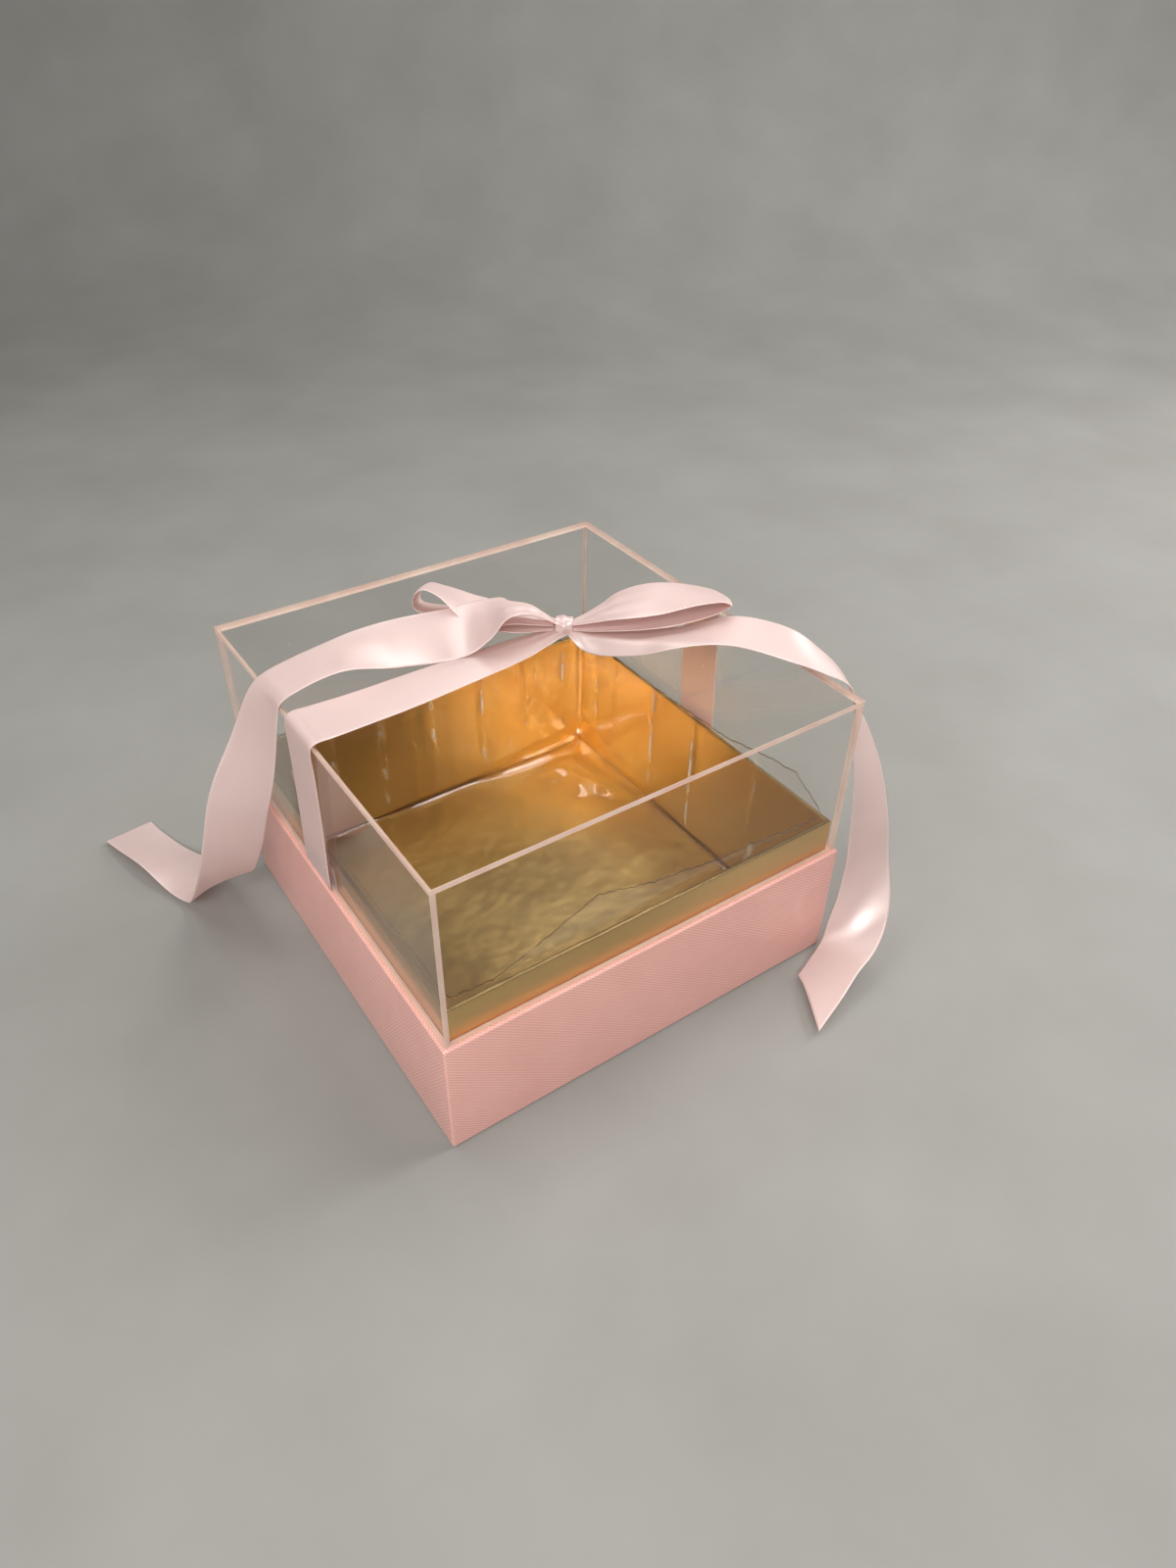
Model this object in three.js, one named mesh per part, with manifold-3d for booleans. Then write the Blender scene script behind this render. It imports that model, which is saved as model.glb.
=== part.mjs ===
// Flower gift box: a paper-wrapped board tray with a gold collar, a clear acrylic lid and a satin ribbon tied in a bow.
// Millimetres, +Z up, origin at the centre of the underside, front towards -Y, the bow's left loop towards -X.
import * as THREE from "three";
import { mergeVertices } from "three/addons/utils/BufferGeometryUtils.js";
import Module from "manifold-3d";

const wasm = await Module();
wasm.setup();

// Tray
const BASE_WIDTH = 200;
const BASE_HEIGHT = 60;
const BOARD = 3;
const PAPER = 0.3;
const STAY_TAPE = 0.2;
const STAY_LEG = 15;
const TURN_UNDER = 18;
const TURN_IN = 22;
const BOTTOM_MARGIN = 2;
const GLUE = 0.05;

// Gold lining and film
const COLLAR_BOARD = 2;
const COLLAR_RISE = 16.5;
const COLLAR_EDGE_RADIUS = 0.6;
const FLOOR_PAD = 2;
const PAD_CLEARANCE = 0.2;
const FILM = 0.3;
const FILM_CLEARANCE = 0.25;
const FILM_CORNER_RISE = 3;
// Top edge of the film, wall by wall: share of the way from the wall's middle to its end, rise above the collar
const FILM_EDGES = {
  front: [[0.7, 5], [0.36, 7], [0, 12], [-0.29, 20], [-0.6, 8], [-0.8, 1.5]],
  right: [[0.55, 2], [-0.2, 4], [-0.55, 11], [-0.78, 15]],
  back: [[0.75, 2.5], [0.3, 4], [-0.45, 2]],
  left: [[0.65, 4], [0.2, 1.5], [-0.55, 3]],
};

// Lid
const ACRYLIC = 2;
const POLISHED_EDGE = 0.15;
const LID_HEIGHT = 80;
const LID_CLEARANCE = 0.6;

// Ribbon
const RIBBON_WIDTH = 25;
const RIBBON = 0.3;
const RIBBON_SLACK = 0.1;
const BAND_SHIFT = 5.5;
const BAND_LEAN_LEFT = 7;
const BAND_LEAN_RIGHT = -5;
const BAND_WAIST = 12;
const BAND_TUCK = 11;
const KNOT_LENGTH = 11;
const KNOT_RADIUS = 5.8;
const KNOT_END_RADIUS = 4;
const KNOT_OFFSET = 22;
const KNOT_TURN = -38;
const SEAT_GAP = 0.3;

// Each stop of a ribbon's route: place of its middle line, then the way its width points (turn about Z and tilt above
// the horizontal, degrees), the share of its width left where it is gathered, and how far it is cupped, in degrees.
// Stops at the knot are measured from its middle and up from the lid, stops at an edge from the lid's left top edge
// or its right front top corner, and stops at the table from the foot of the tray below that edge or corner.
const TAIL_LEFT = {
  knot: [
    [-6, 3.7, 10.7, 72, -8, 0.3, 60],
    [-14, 4.4, 14.5, 60, -4, 0.6, 60],
    [-25, 9.5, 16, 58, 6, 0.9, 40],
    [-34.5, 15.5, 11.5, 69, 22, 1, 25],
    [-44.5, 20.7, 7.5, 73, 27, 1, 10],
  ],
  edge: [
    [52.6, 31.6, 7.7, 79, 20, 1, 0],
    [28.6, 34.2, 8.5, 82, -1, 1, 0],
    [10.6, 36, 5.7, 84, -4, 1, 0],
    [0.1, 36.5, 1.9, 86, -2, 1, 0],
    [-4.9, 36.7, -5, 96, 5, 1, 0],
    [-12.9, 38, -28.5, 116, 14, 1, 0],
    [-20.4, 41.5, -52.5, 144, 18, 1, 0],
  ],
  table: [
    [-24, 46.5, 64.5, 162, 15, 1, 0],
    [-28, 56, 42, 174, 11, 1, 0],
    [-29.5, 72, 24, 188, -4, 1, 0],
    [-31.5, 91.5, 9.5, 201, -19, 1, 0],
    [-35, 103, 6.2, 198, -14, 1, 0],
    [-41.5, 126, 5, 193, 9, 1, 0],
    [-48, 150, 2.7, 185, 7, 1, 0],
    [-50.5, 162, 1.4, 180, 2, 1, 0],
  ],
};
const TAIL_RIGHT = {
  knot: [
    [5.2, -4.9, 4.9, 46, -3, 0.35, 80],
    [8.5, -9.5, 4.9, 44, -4, 0.5, 80],
    [14.5, -17.5, 5.9, 45, -5, 0.8, 65],
    [22.5, -28, 7.9, 46, -7, 1, 40],
    [31.5, -37.5, 10.5, 45, -8, 1, 15],
  ],
  edge: [
    [-27.6, 50.6, 16, 47, -1, 1, 0],
    [-10.2, 34.6, 11.5, 47, 2, 1, 0],
    [-1.1, 26.3, 6, 52, -5, 1, 0],
    [7.9, 19.1, -2, 57, -11, 1, 0],
    [13.4, 11.6, -24.5, 36, -4, 1, 0],
    [16.9, 3.6, -48.5, 17, 1, 1, 0],
  ],
  table: [
    [16.5, -1, 68, 2, 2, 1, 0],
    [16, -5.5, 45, -10, 1, 1, 0],
    [12, -12.4, 27.2, -32, 0, 1, 0],
    [0.6, -18.1, 11.5, -58, 5, 1, 0],
    [-10.5, -20.8, 5.6, -66, 3, 1, 0],
    [-21.5, -25.3, 2.2, -68, 0, 1, 0],
    [-43, -29.5, 1.1, -68, 0, 1, 0],
  ],
};
const TAIL_RIGHT_SLANT = 0.072;
const LOOP_RIGHT = [
  [5.6, -4.1, 9.7, 56, -10, 0.35, 0],
  [9, -7.5, 12.5, 60, -10, 0.5, 0],
  [13, -10.8, 15.8, 61, -8, 0.75, 0],
  [19, -14.3, 18.7, 62, -3, 1, 0],
  [31.5, -20.5, 20.5, 64, 3, 1, 0],
  [47, -28.1, 22.1, 64, -5, 1, 0],
  [57.5, -33.1, 21.1, 64, -12, 1, 0],
  [57, -33.1, 18.1, 62, -14, 1, 0],
  [44, -28.1, 14.5, 60, -12, 1, 0],
  [34, -23.1, 12.5, 58, -10, 1, 0],
  [24, -17.1, 11.9, 58, -10, 1, 0],
  [15, -11.1, 10.7, 58, -11, 0.75, 0],
  [9.5, -7.1, 9, 57, -11, 0.5, 0],
  [5.6, -4.3, 7.7, 55, -10, 0.35, 0],
];
const LOOP_LEFT = [
  [-5.7, 4.3, 8.3, 45, 8, 0.35, 0],
  [-9.5, 7.5, 8.9, 43, 14, 0.5, 0],
  [-13.5, 12.1, 9.5, 42, 20, 0.75, 0],
  [-19, 19.5, 10.5, 41, 26, 1, 0],
  [-27, 31.5, 12.5, 42, 26, 1, 0],
  [-37, 43, 14.5, 44, 16, 1, 0],
  [-43.5, 49.5, 13.1, 46, 11, 1, 0],
  [-43.5, 49.5, 9.9, 46, 10, 1, 0],
  [-37, 42.5, 7.1, 44, 10, 1, 0],
  [-26, 30, 4.7, 42, 10, 1, 0],
  [-19, 19.5, 4.3, 41, 10, 1, 0],
  [-13.5, 12.1, 4.4, 42, 10, 0.75, 0],
  [-9.5, 7.5, 4.9, 43, 8, 0.5, 0],
  [-5.7, 4.3, 5.7, 45, 6, 0.35, 0],
];

// Facets
const EDGE_SEGMENTS = 3;
const SPLINE_SEGMENTS = 4;
const KNOT_SIDES = 20;
const KNOT_RINGS = 8;
const STEPS_PER_STOP = 4;
const RIBBON_STRIPS = 6;
const BAND_STATIONS = 8;
const WELD_STEPS = 10000;

// Layers of the tray, from the outside in
const baseHalf = BASE_WIDTH / 2;
const wrapInside = baseHalf - PAPER;
const boardOutside = wrapInside - STAY_TAPE - 2 * GLUE;
const boardInside = boardOutside - BOARD;
const turnInFace = boardInside - GLUE - PAPER;
const collarOutside = turnInFace - GLUE;
const collarInside = collarOutside - COLLAR_BOARD;
const padHalf = collarInside - PAD_CLEARANCE;
const filmHalf = collarInside - FILM_CLEARANCE;

// Layers of the tray, from the table up
const flangeBottom = PAPER + GLUE;
const boardBottom = flangeBottom + PAPER + GLUE;
const boardTop = BASE_HEIGHT - PAPER - GLUE;
const padBottom = boardBottom + BOARD + GLUE;
const filmBottom = padBottom + FLOOR_PAD + FILM_CLEARANCE;
const collarTop = BASE_HEIGHT + COLLAR_RISE;

// Lid and ribbon
const lidInside = collarOutside + LID_CLEARANCE;
const lidHalf = lidInside + ACRYLIC;
const lidBottom = BASE_HEIGHT + RIBBON + 2 * RIBBON_SLACK;
const lidTop = lidBottom + LID_HEIGHT;
const knotHeight = lidTop + RIBBON_SLACK + RIBBON + SEAT_GAP + KNOT_RADIUS;

const SIDES = ["front", "right", "back", "left"];
const QUARTER = Math.PI / 2;

const finishes = {
  pinkPaper: () => new THREE.MeshStandardMaterial({ color: 0xe2a79b, roughness: 0.75, metalness: 0 }),
  plainPaper: () => new THREE.MeshStandardMaterial({ color: 0xd9c9bb, roughness: 0.85, metalness: 0 }),
  greyboard: () => new THREE.MeshStandardMaterial({ color: 0x8c8478, roughness: 0.9, metalness: 0 }),
  goldFoil: () => new THREE.MeshStandardMaterial({ color: 0xc0913c, roughness: 0.22, metalness: 1 }),
  acrylic: () => clear(0xf4efec, 0.05, 0.25),
  film: () => clear(0xf2f2f0, 0.08, 0.2),
  satin: () => new THREE.MeshStandardMaterial({ color: 0xeccbc6, roughness: 0.38, metalness: 0 }),
};

function clear(color, roughness, opacity) {
  return new THREE.MeshStandardMaterial({ color, roughness, metalness: 0, transparent: true, opacity });
}

function add(group, name, geometry, finish) {
  const mesh = new THREE.Mesh(geometry, finish());
  mesh.name = name;
  group.add(mesh);
  return mesh;
}

// Joins the corners that faces share. They are rounded first, so that both sides of a seam agree.
function welded(geometry) {
  geometry.deleteAttribute("normal");
  geometry.deleteAttribute("uv");
  const places = geometry.attributes.position.array;
  places.forEach((value, i) => {
    places[i] = Math.round(value * WELD_STEPS) / WELD_STEPS;
  });
  return mergeVertices(geometry);
}

function solid(geometry) {
  const bare = welded(geometry);
  const vertProperties = new Float32Array(bare.attributes.position.array);
  const triVerts = new Uint32Array(bare.index.array);
  return new wasm.Manifold(new wasm.Mesh({ numProp: 3, vertProperties, triVerts }));
}

function geometryOf(manifold) {
  const { vertProperties, triVerts } = manifold.getMesh();
  const geometry = new THREE.BufferGeometry();
  geometry.setAttribute("position", new THREE.BufferAttribute(vertProperties, 3));
  geometry.setIndex(new THREE.BufferAttribute(triVerts, 1));
  return geometry;
}

function outline(points) {
  return new THREE.Shape(points.map(([x, y]) => new THREE.Vector2(x, y)));
}

// A ring or plate with a square plan: its section, distance from the middle against height, turned in four sides.
function squareTurned(section) {
  const points = section.map(([half, height]) => new THREE.Vector2(half * Math.SQRT2, height));
  return welded(new THREE.LatheGeometry(points, SIDES.length, QUARTER / 2).rotateX(QUARTER));
}

// A board on the front side. Its section, depth from the outer face against height, runs along X, and its ends are
// cut at 45 degrees, so that four of them turned about Z close a frame.
function mitredBoard(section, half) {
  const geometry = new THREE.ExtrudeGeometry(section, { depth: 1, bevelEnabled: false, curveSegments: EDGE_SEGMENTS });
  const position = geometry.attributes.position;
  for (let i = 0; i < position.count; i++) {
    const depth = position.getX(i);
    const reach = half - depth - GLUE;
    const along = (2 * position.getZ(i) - 1) * reach;
    position.setXYZ(i, along, depth - half, position.getY(i));
  }
  return welded(geometry);
}

// A sheet of acrylic with polished edges, standing on the XY plane's origin with its thickness along Z.
function polishedPanel(width, height) {
  const x = width / 2 - POLISHED_EDGE;
  const y = height / 2 - POLISHED_EDGE;
  const geometry = new THREE.ExtrudeGeometry(outline([[-x, -y], [x, -y], [x, y], [-x, y]]), {
    depth: ACRYLIC - 2 * POLISHED_EDGE,
    bevelSize: POLISHED_EDGE,
    bevelThickness: POLISHED_EDGE,
    bevelSegments: 1,
  });
  return welded(geometry.translate(0, 0, POLISHED_EDGE - ACRYLIC / 2));
}

function tray() {
  const group = new THREE.Group();

  const bottomHalf = baseHalf - BOTTOM_MARGIN;
  add(group, "bottom_paper", squareTurned([[0, 0], [bottomHalf, 0], [bottomHalf, PAPER], [0, PAPER]]), finishes.plainPaper);

  const floorFoot = boardOutside - 2 * GLUE;
  const floorTop = boardBottom + BOARD;
  const floor = [[0, boardBottom], [floorFoot, boardBottom], [floorFoot - BOARD, floorTop], [0, floorTop]];
  add(group, "floor_board", squareTurned(floor), finishes.greyboard);

  const wall = outline([[0, boardBottom], [BOARD, boardBottom + BOARD], [BOARD, boardTop], [0, boardTop]]);
  SIDES.forEach((side, i) => {
    add(group, `${side}_wall_board`, mitredBoard(wall, boardOutside), finishes.greyboard).rotation.z = i * QUARTER;
  });

  const stayOut = wrapInside - GLUE;
  const stayIn = stayOut - STAY_TAPE;
  const stay = outline([
    [stayOut - STAY_LEG, -stayOut], [stayOut, -stayOut], [stayOut, STAY_LEG - stayOut],
    [stayIn, STAY_LEG - stayOut], [stayIn, -stayIn], [stayOut - STAY_LEG, -stayIn],
  ]);
  SIDES.forEach((side, i) => {
    const tape = new THREE.ExtrudeGeometry(stay, { depth: boardTop - boardBottom, bevelEnabled: false });
    const mesh = add(group, `corner_stay_${i + 1}`, welded(tape), finishes.plainPaper);
    mesh.position.z = boardBottom;
    mesh.rotation.z = i * QUARTER;
  });

  const flangeEnd = baseHalf - TURN_UNDER;
  const turnInEnd = BASE_HEIGHT - TURN_IN;
  const turnInBack = turnInFace + PAPER;
  const wrap = [
    [flangeEnd, flangeBottom], [baseHalf, flangeBottom], [baseHalf, BASE_HEIGHT], [turnInFace, BASE_HEIGHT],
    [turnInFace, turnInEnd], [turnInBack, turnInEnd], [turnInBack, BASE_HEIGHT - PAPER],
    [wrapInside, BASE_HEIGHT - PAPER], [wrapInside, flangeBottom + PAPER], [flangeEnd, flangeBottom + PAPER],
    [flangeEnd, flangeBottom],
  ];
  add(group, "wrap_paper", squareTurned(wrap), finishes.pinkPaper);
  return group;
}

function goldLining() {
  const group = new THREE.Group();

  // The foil rolls over the top edge of the collar in a small radius on both faces
  const shoulder = collarTop - COLLAR_EDGE_RADIUS;
  const collar = new THREE.Shape();
  collar.moveTo(0, padBottom);
  collar.lineTo(COLLAR_BOARD, padBottom);
  collar.absarc(COLLAR_BOARD - COLLAR_EDGE_RADIUS, shoulder, COLLAR_EDGE_RADIUS, 0, QUARTER);
  collar.absarc(COLLAR_EDGE_RADIUS, shoulder, COLLAR_EDGE_RADIUS, QUARTER, 2 * QUARTER);
  SIDES.forEach((side, i) => {
    add(group, `${side}_collar_board`, mitredBoard(collar, collarOutside), finishes.goldFoil).rotation.z = i * QUARTER;
  });

  const padTop = padBottom + FLOOR_PAD;
  const pad = [[0, padBottom], [padHalf, padBottom], [padHalf, padTop], [0, padTop]];
  add(group, "gold_floor_board", squareTurned(pad), finishes.goldFoil);
  add(group, "film_liner", filmLiner(), finishes.film);
  return group;
}

// The film is one open tray: a floor and four walls whose top edges rise and fall.
function filmLiner() {
  const filmTop = filmBottom + FILM;
  const floor = [[0, filmBottom], [filmHalf, filmBottom], [filmHalf, filmTop], [0, filmTop]];
  const cornerTop = collarTop + FILM_CORNER_RISE;
  const walls = SIDES.map((side, i) => {
    const wall = new THREE.Shape();
    wall.moveTo(-filmHalf, filmBottom);
    wall.lineTo(filmHalf, filmBottom);
    wall.lineTo(filmHalf, cornerTop);
    const crest = FILM_EDGES[side].map(([share, rise]) => new THREE.Vector2(share * filmHalf, collarTop + rise));
    wall.splineThru([...crest, new THREE.Vector2(-filmHalf, cornerTop)]);
    const sheet = new THREE.ExtrudeGeometry(wall, { depth: FILM, bevelEnabled: false, curveSegments: SPLINE_SEGMENTS });
    return sheet.rotateX(QUARTER).translate(0, FILM - filmHalf, 0).rotateZ(i * QUARTER);
  });
  return geometryOf(walls.reduce((liner, wall) => liner.add(solid(wall)), solid(squareTurned(floor))));
}

function lid() {
  const group = new THREE.Group();
  const middle = lidHalf - ACRYLIC / 2;
  const wallTop = lidTop - ACRYLIC - GLUE;
  const wallHeight = wallTop - lidBottom;
  const wallMiddle = lidBottom + wallHeight / 2;

  const top = add(group, "lid_top_panel", polishedPanel(2 * lidHalf, 2 * lidHalf), finishes.acrylic);
  top.position.z = lidTop - ACRYLIC / 2;

  // The left and right walls run the full depth, and the front and back walls fit between them
  const fullWidth = 2 * lidHalf;
  const between = 2 * (lidHalf - ACRYLIC - GLUE);
  SIDES.forEach((side, i) => {
    const across = side === "left" || side === "right";
    const panel = polishedPanel(across ? fullWidth : between, wallHeight).rotateX(QUARTER);
    const mesh = add(group, `lid_${side}_panel`, panel, finishes.acrylic);
    mesh.rotation.z = i * QUARTER;
    mesh.position.set(middle * Math.sin(i * QUARTER), -middle * Math.cos(i * QUARTER), wallMiddle);
  });
  return group;
}

// Stops of a route, moved from a place on the box to where they are.
function from([x, y, z], stops) {
  return stops.map(([dx, dy, dz, ...way]) => [x + dx, y + dy, z + dz, ...way]);
}

// An open sheet, thickened to both sides of it and closed along its rim.
function thickened(sheet, thickness) {
  sheet.computeVertexNormals();
  const { position, normal } = sheet.attributes;
  const count = position.count;
  const points = new Float32Array(6 * count);
  for (let i = 0; i < 2 * count; i++) {
    const point = new THREE.Vector3().fromBufferAttribute(position, i % count);
    const outward = new THREE.Vector3().fromBufferAttribute(normal, i % count);
    point.addScaledVector(outward, i < count ? thickness / 2 : -thickness / 2);
    point.toArray(points, 3 * i);
  }
  const faces = [];
  const rim = new Map();
  const corners = sheet.index.array;
  for (let i = 0; i < corners.length; i += 3) {
    const [a, b, c] = corners.slice(i, i + 3);
    faces.push(a, b, c, c + count, b + count, a + count);
    for (const [start, end] of [[a, b], [b, c], [c, a]]) {
      if (!rim.delete(`${end} ${start}`)) {
        rim.set(`${start} ${end}`, [start, end]);
      }
    }
  }
  for (const [start, end] of rim.values()) {
    faces.push(end, start, start + count, end, start + count, end + count);
  }
  const geometry = new THREE.BufferGeometry();
  geometry.setAttribute("position", new THREE.BufferAttribute(points, 3));
  geometry.setIndex(faces);
  return geometry;
}

// A length of ribbon: a flat sheet bent along its route. Across its width it can be cupped round its middle line, and
// at its far end the cut can slant, by that share of the length.
function ribbonAlong(route, slant = 0) {
  const spline = (pick) => new THREE.CatmullRomCurve3(route.map(pick), false, "catmullrom", 0.5);
  const places = route.map(([x, y, z]) => new THREE.Vector3(x, y, z));
  const middleLine = new THREE.CatmullRomCurve3(places, false, "centripetal");
  const turning = spline((stop) => new THREE.Vector3(stop[3], stop[4], 0));
  const shaping = spline((stop) => new THREE.Vector3(stop[5], stop[6], 0));
  const steps = STEPS_PER_STOP * (route.length - 1);
  const sheet = new THREE.PlaneGeometry(RIBBON_WIDTH, 1, RIBBON_STRIPS, steps);
  const position = sheet.attributes.position;
  for (let i = 0; i < position.count; i++) {
    const across = position.getX(i);
    const run = (position.getY(i) + 0.5) * (1 - slant * (0.5 - across / RIBBON_WIDTH));
    const along = middleLine.getTangent(run);
    const [yaw, tilt] = turning.getPoint(run).toArray().map(THREE.MathUtils.degToRad);
    const { x: width, y: cupDegrees } = shaping.getPoint(run);
    const side = new THREE.Vector3(Math.cos(yaw) * Math.cos(tilt), Math.sin(yaw) * Math.cos(tilt), Math.sin(tilt));
    side.addScaledVector(along, -side.dot(along)).normalize();
    const face = new THREE.Vector3().crossVectors(side, along);
    const bend = THREE.MathUtils.degToRad(cupDegrees) * (across / RIBBON_WIDTH);
    const flat = Math.abs(bend) < 1e-6;
    const sideways = flat ? across : (across * Math.sin(bend)) / bend;
    const drop = flat ? 0 : (across * (1 - Math.cos(bend))) / bend;
    const point = middleLine.getPoint(run);
    point.addScaledVector(side, sideways * width);
    point.addScaledVector(face, -drop * width);
    position.setXYZ(i, point.x, point.y, point.z);
  }
  return thickened(sheet, RIBBON);
}

// The band lies on the lid from one lower edge to the other. Its section hugs the lid, and its width, along Y, is
// drawn in towards the knot and leans with each wall.
function ribbonBand() {
  const near = lidHalf + RIBBON_SLACK / 2;
  const under = lidBottom - RIBBON_SLACK / 2;
  const above = lidTop + RIBBON_SLACK / 2;
  const inner = lidInside - RIBBON_SLACK / 2;
  const tuckTop = lidBottom + BAND_TUCK;
  const over = Array.from({ length: BAND_STATIONS + 1 }, (_, i) => near * (1 - (2 * i) / BAND_STATIONS));
  const section = new THREE.Shape();
  section.moveTo(-inner, tuckTop);
  section.lineTo(-inner, under);
  section.lineTo(-near, under);
  [...over].reverse().forEach((x) => section.lineTo(x, above));
  section.lineTo(near, under);
  section.lineTo(inner, under);
  section.lineTo(inner, tuckTop);
  section.lineTo(inner - RIBBON, tuckTop);
  section.absarc(inner, under, RIBBON, 2 * QUARTER, 3 * QUARTER);
  section.absarc(near, under, RIBBON, 3 * QUARTER, 4 * QUARTER);
  section.absarc(near, above, RIBBON, 0, QUARTER);
  over.slice(1, -1).forEach((x) => section.lineTo(x, above + RIBBON));
  section.absarc(-near, above, RIBBON, QUARTER, 2 * QUARTER);
  section.absarc(-near, under, RIBBON, 2 * QUARTER, 3 * QUARTER);
  section.absarc(-inner, under, RIBBON, 3 * QUARTER, 4 * QUARTER);
  section.lineTo(RIBBON - inner, tuckTop);
  const geometry = new THREE.ExtrudeGeometry(section, { depth: 1, bevelEnabled: false, curveSegments: EDGE_SEGMENTS });
  const position = geometry.attributes.position;
  for (let i = 0; i < position.count; i++) {
    const x = position.getX(i);
    const z = position.getY(i);
    const toEdge = x < KNOT_OFFSET ? near + KNOT_OFFSET : near - KNOT_OFFSET;
    const fromKnot = Math.min(Math.abs(x - KNOT_OFFSET) / toEdge, 1);
    const width = z < lidTop ? RIBBON_WIDTH : THREE.MathUtils.lerp(BAND_WAIST, RIBBON_WIDTH, fromKnot);
    const lean = (x < 0 ? BAND_LEAN_LEFT : BAND_LEAN_RIGHT) * Math.max((lidTop - z) / LID_HEIGHT, 0);
    position.setXYZ(i, x, BAND_SHIFT + lean + width * (0.5 - position.getZ(i)), z);
  }
  return welded(geometry);
}

// The knot is the ribbon wound once round the bow's middle: a short barrel, fuller in the middle.
function knot() {
  const ends = KNOT_LENGTH / 2;
  const barrel = Array.from({ length: KNOT_RINGS + 1 }, (_, i) => {
    const share = (2 * i) / KNOT_RINGS - 1;
    const radius = THREE.MathUtils.lerp(KNOT_RADIUS, KNOT_END_RADIUS, share * share);
    return new THREE.Vector2(radius, ends * share);
  });
  const profile = [new THREE.Vector2(0, -ends), ...barrel, new THREE.Vector2(0, ends)];
  return welded(new THREE.LatheGeometry(profile, KNOT_SIDES).rotateZ(-QUARTER));
}

function ribbon() {
  const group = new THREE.Group();
  add(group, "ribbon_band", ribbonBand(), finishes.satin);
  const middle = add(group, "bow_knot", knot(), finishes.satin);
  middle.position.set(KNOT_OFFSET, BAND_SHIFT, knotHeight);
  middle.rotation.z = THREE.MathUtils.degToRad(KNOT_TURN);

  const tied = [KNOT_OFFSET, BAND_SHIFT, lidTop];
  add(group, "bow_loop_left", ribbonAlong(from(tied, LOOP_LEFT)), finishes.satin);
  add(group, "bow_loop_right", ribbonAlong(from(tied, LOOP_RIGHT)), finishes.satin);

  const leftRoute = [
    ...from(tied, TAIL_LEFT.knot),
    ...from([-lidHalf, 0, lidTop], TAIL_LEFT.edge),
    ...from([-baseHalf, 0, 0], TAIL_LEFT.table),
  ];
  add(group, "bow_tail_left", ribbonAlong(leftRoute), finishes.satin);

  const rightRoute = [
    ...from(tied, TAIL_RIGHT.knot),
    ...from([lidHalf, -lidHalf, lidTop], TAIL_RIGHT.edge),
    ...from([baseHalf, -baseHalf, 0], TAIL_RIGHT.table),
  ];
  add(group, "bow_tail_right", ribbonAlong(rightRoute, TAIL_RIGHT_SLANT), finishes.satin);
  return group;
}

const box = new THREE.Group();
box.add(tray(), goldLining(), lid(), ribbon());

export default box;
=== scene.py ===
import bmesh
import bpy
import numpy as np
from mathutils import Matrix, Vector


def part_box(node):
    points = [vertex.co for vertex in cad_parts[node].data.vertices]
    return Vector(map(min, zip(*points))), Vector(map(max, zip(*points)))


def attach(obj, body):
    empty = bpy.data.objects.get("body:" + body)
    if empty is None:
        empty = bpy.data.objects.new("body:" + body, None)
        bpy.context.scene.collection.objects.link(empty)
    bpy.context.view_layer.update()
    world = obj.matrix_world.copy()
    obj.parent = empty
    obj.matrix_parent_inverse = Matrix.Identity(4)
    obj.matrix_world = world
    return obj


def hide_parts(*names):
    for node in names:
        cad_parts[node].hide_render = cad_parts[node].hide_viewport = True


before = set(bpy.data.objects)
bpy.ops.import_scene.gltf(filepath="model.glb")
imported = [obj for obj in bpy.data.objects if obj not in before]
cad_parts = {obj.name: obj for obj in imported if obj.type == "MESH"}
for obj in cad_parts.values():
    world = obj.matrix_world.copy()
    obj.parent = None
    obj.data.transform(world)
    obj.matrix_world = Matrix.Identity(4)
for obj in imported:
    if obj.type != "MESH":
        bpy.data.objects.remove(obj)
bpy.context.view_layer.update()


# View: the photograph's own, from above the front left corner and looking down across the box.
# The lens is wide, so the near corner looms and the far one draws in.
EYE = np.array([-0.20064, -0.32833, 0.38229])
EYE_RIGHT = np.array([0.8226, -0.5683, 0.0172])
EYE_UP = np.array([0.3435, 0.5209, 0.7815])
LENS_MM = 24.75
SENSOR_MM = 36.0
NEAREST = 0.01


def stand(piece, right, up, back, place):
    """Puts a camera or a lamp at a place, with its own axes turned to those three directions."""
    piece.matrix_world = Matrix([*zip(right, up, back, place), (0, 0, 0, 1)])
    bpy.context.scene.collection.objects.link(piece)


lens = bpy.data.cameras.new("view")
lens.lens = LENS_MM
lens.sensor_width = SENSOR_MM
lens.clip_start = NEAREST
view = bpy.data.objects.new("view", lens)
stand(view, EYE_RIGHT, EYE_UP, np.cross(EYE_RIGHT, EYE_UP), EYE)
bpy.context.scene.camera = view


# Greyboard: the tray's floor and walls are 3 mm recycled board, grey-brown and fibrous, V-cut and folded up.
# The wrap hides all of it, so it only shows where the tray is taken apart.
def new_finish(name):
    """A material with a Principled shader, and that shader."""
    finish = bpy.data.materials.new(name)
    finish.use_nodes = True
    return finish, finish.node_tree.nodes["Principled BSDF"]


def add_node(finish, kind, values=None, **settings):
    """A new node in a finish. Each value is linked to the input of that name or number, or set on it."""
    made = finish.node_tree.nodes.new(kind)
    for key, value in settings.items():
        setattr(made, key, value)
    for key, value in (values or {}).items():
        join(finish, value, made.inputs[key])
    return made


def join(finish, value, socket):
    """Links an output to a socket, or sets the socket to a plain value."""
    if isinstance(value, bpy.types.NodeSocket):
        finish.node_tree.links.new(value, socket)
    else:
        socket.default_value = value


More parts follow.
